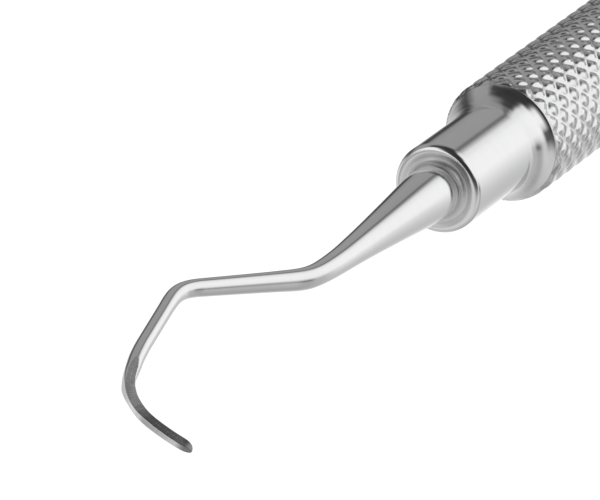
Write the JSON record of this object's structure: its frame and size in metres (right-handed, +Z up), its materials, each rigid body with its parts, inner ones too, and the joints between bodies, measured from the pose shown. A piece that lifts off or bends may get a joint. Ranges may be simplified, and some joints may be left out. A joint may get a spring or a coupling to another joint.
{
  "type": "double-ended hand scaler",
  "caption": "Double-ended hand scaler: a straight round knurled handle with a smooth stepped nose and a tapered, bent shank ending in a small curved blade at each end.",
  "frame": {"origin": "middle of the handle, on its axis, which is also the centre of the whole instrument", "axes": "+X along the handle towards the front working end; +Z up, square to the plane that both shanks bend in; +Y completes the right-handed frame"},
  "size_m": [0.1792, 0.01, 0.008],
  "materials": {
    "knurled_steel": "knurled and polished stainless steel",
    "polished_steel": "bright polished stainless steel with faint turning marks",
    "braze": "polished filler metal",
    "blade_steel": "polished hardened stainless steel, ground flats on the blade"
  },
  "bodies": {
    "root": {"handle_tube": "knurled_steel", "front_nose_ferrule": "polished_steel", "rear_nose_ferrule": "polished_steel", "front_braze_ring": "braze", "rear_braze_ring": "braze", "front_working_end": "blade_steel", "rear_working_end": "blade_steel"}
  },
  "joints": []
}
